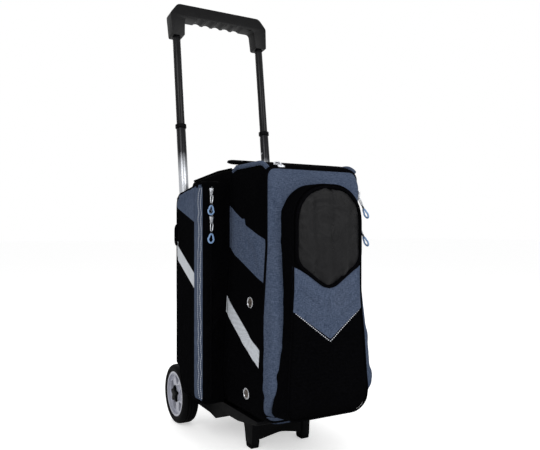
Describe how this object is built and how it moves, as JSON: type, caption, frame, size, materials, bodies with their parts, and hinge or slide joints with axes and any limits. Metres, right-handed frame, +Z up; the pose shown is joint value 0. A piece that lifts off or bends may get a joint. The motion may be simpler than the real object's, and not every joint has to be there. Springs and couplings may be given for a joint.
{
  "type": "rolling bowling bag",
  "caption": "Upright rolling bag for bowling balls stacked one over the other, with outboard wheels, front feet, a telescopic handle, a zipped front door and side pockets.",
  "frame": {"origin": "on the ground, under the middle of the whole bag", "axes": "+Z up, -Y towards the front door and pocket, +Y towards the wheels and the handle, +X to the right seen from the front"},
  "size_m": [0.33, 0.5496, 1.0433],
  "materials": {
    "black_fabric": "matte",
    "blue_fabric": "matte",
    "black_plastic": "satin",
    "grip_plastic": "satin",
    "rubber": "matte",
    "tyre": "matte",
    "rim_silver": "satin",
    "steel": "satin",
    "black_tube": "gloss",
    "foam": "matte",
    "pull_cord": "satin"
  },
  "bodies": {
    "bag": {"main_body": "black_fabric", "ball_tray": "black_plastic", "ball_shelf": "black_plastic", "ball_cup_lower": "foam", "ball_cup_upper": "foam", "side_screw_1_left": "steel", "side_screw_1_right": "steel", "side_screw_2_left": "steel", "side_screw_2_right": "steel", "side_pocket_left": "black_fabric", "side_pocket_right": "black_fabric", "rear_loop_left": "black_fabric", "rear_loop_right": "black_fabric", "base_chassis": "black_plastic", "foot_left": "rubber", "foot_right": "rubber", "axle": "steel", "axle_spacer_left": "black_plastic", "axle_spacer_right": "black_plastic", "back_board": "black_plastic", "handle_foot_bar": "black_plastic", "handle_top_bracket": "black_plastic", "handle_housing_left": "black_tube", "handle_housing_right": "black_tube", "carry_strap": "black_fabric", "side_zip_left": "steel", "side_zip_right": "steel"},
    "wheel_left": {"tyre_left": "tyre", "rim_left": "rim_silver", "wheel_bush_left": "black_plastic", "hub_cap_left": "black_plastic"},
    "wheel_right": {"tyre_right": "tyre", "rim_right": "rim_silver", "wheel_bush_right": "black_plastic", "hub_cap_right": "black_plastic"},
    "handle_lower": {"lower_tube_left": "black_tube", "lower_tube_right": "black_tube", "stage_pin_left": "steel", "stage_pin_right": "steel", "stage_collar_left": "black_plastic", "stage_collar_right": "black_plastic"},
    "handle_upper": {"upper_tube_left": "black_tube", "upper_tube_right": "black_tube", "grip": "grip_plastic"},
    "release_button": {"release_button": "grip_plastic"},
    "front_door": {"front_panel": "blue_fabric", "front_pocket": "black_fabric", "door_zip": "steel"},
    "oval_flap": {"oval_panel": "black_fabric"},
    "side_door_left": {"side_panel_left": "black_fabric"},
    "side_door_right": {"side_panel_right": "black_fabric"},
    "carry_handle": {"carry_handle": "black_fabric"},
    "side_pull_1_left": {"side_pull_1_left": "pull_cord"},
    "side_pull_1_right": {"side_pull_1_right": "pull_cord"},
    "side_pull_2_left": {"side_pull_2_left": "pull_cord"},
    "side_pull_2_right": {"side_pull_2_right": "pull_cord"},
    "door_pull_1": {"door_pull_1": "pull_cord"},
    "door_pull_2": {"door_pull_2": "pull_cord"}
  },
  "joints": [
    {"name": "wheel_left_spin", "type": "hinge", "parent": "bag", "child": "wheel_left", "pos_m": [-0.1356, 0.16664, 0.07], "axis": [1, 0, 0], "continuous": true},
    {"name": "wheel_right_spin", "type": "hinge", "parent": "bag", "child": "wheel_right", "pos_m": [0.1356, 0.16664, 0.07], "axis": [1, 0, 0], "continuous": true},
    {"name": "handle_lower_slide", "type": "slide", "parent": "bag", "child": "handle_lower", "axis": [0, 0.1338, 0.991], "range_m": [-0.118, 0]},
    {"name": "handle_upper_slide", "type": "slide", "parent": "handle_lower", "child": "handle_upper", "axis": [0, 0.1338, 0.991], "range_m": [-0.228, 0]},
    {"name": "release_button_press", "type": "slide", "parent": "handle_upper", "child": "release_button", "axis": [0, 0.1338, 0.991], "range_m": [-0.003, 0], "stiffness_N_per_m": 500, "springref_m": 0.002},
    {"name": "front_door_hinge", "type": "hinge", "parent": "bag", "child": "front_door", "pos_m": [0, -0.20551, 0.095], "axis": [1, 0, 0], "range_deg": [0, 90]},
    {"name": "oval_flap_hinge", "type": "hinge", "parent": "front_door", "child": "oval_flap", "pos_m": [0, -0.26136, 0.4049], "axis": [1, 0, 0], "range_deg": [0, 80]},
    {"name": "side_door_left_hinge", "type": "hinge", "parent": "bag", "child": "side_door_left", "pos_m": [-0.165, 0.11684, 0.35], "axis": [0, 0, -1], "range_deg": [0, 80]},
    {"name": "side_door_right_hinge", "type": "hinge", "parent": "bag", "child": "side_door_right", "pos_m": [0.165, 0.11684, 0.35], "axis": [0, 0, 1], "range_deg": [0, 80]},
    {"name": "carry_handle_hinge", "type": "hinge", "parent": "bag", "child": "carry_handle", "pos_m": [0, -0.05736, 0.6075], "axis": [1, 0, 0], "range_deg": [0, 82]},
    {"name": "side_pull_1_left_swing", "type": "hinge", "parent": "bag", "child": "side_pull_1_left", "pos_m": [-0.149, -0.04666, 0.5359], "axis": [-1, 0, 0], "range_deg": [0, 60]},
    {"name": "side_pull_1_right_swing", "type": "hinge", "parent": "bag", "child": "side_pull_1_right", "pos_m": [0.149, -0.04666, 0.5359], "axis": [-1, 0, 0], "range_deg": [0, 60]},
    {"name": "side_pull_2_left_swing", "type": "hinge", "parent": "bag", "child": "side_pull_2_left", "pos_m": [-0.149, -0.04666, 0.4769], "axis": [-1, 0, 0], "range_deg": [0, 60]},
    {"name": "side_pull_2_right_swing", "type": "hinge", "parent": "bag", "child": "side_pull_2_right", "pos_m": [0.149, -0.04666, 0.4769], "axis": [-1, 0, 0], "range_deg": [0, 60]},
    {"name": "door_pull_1_swing", "type": "hinge", "parent": "front_door", "child": "door_pull_1", "pos_m": [0.1083, -0.21266, 0.5289], "axis": [0, -1, 0], "range_deg": [0, 60]},
    {"name": "door_pull_2_swing", "type": "hinge", "parent": "front_door", "child": "door_pull_2", "pos_m": [0.1083, -0.21266, 0.4709], "axis": [0, -1, 0], "range_deg": [0, 60]}
  ]
}
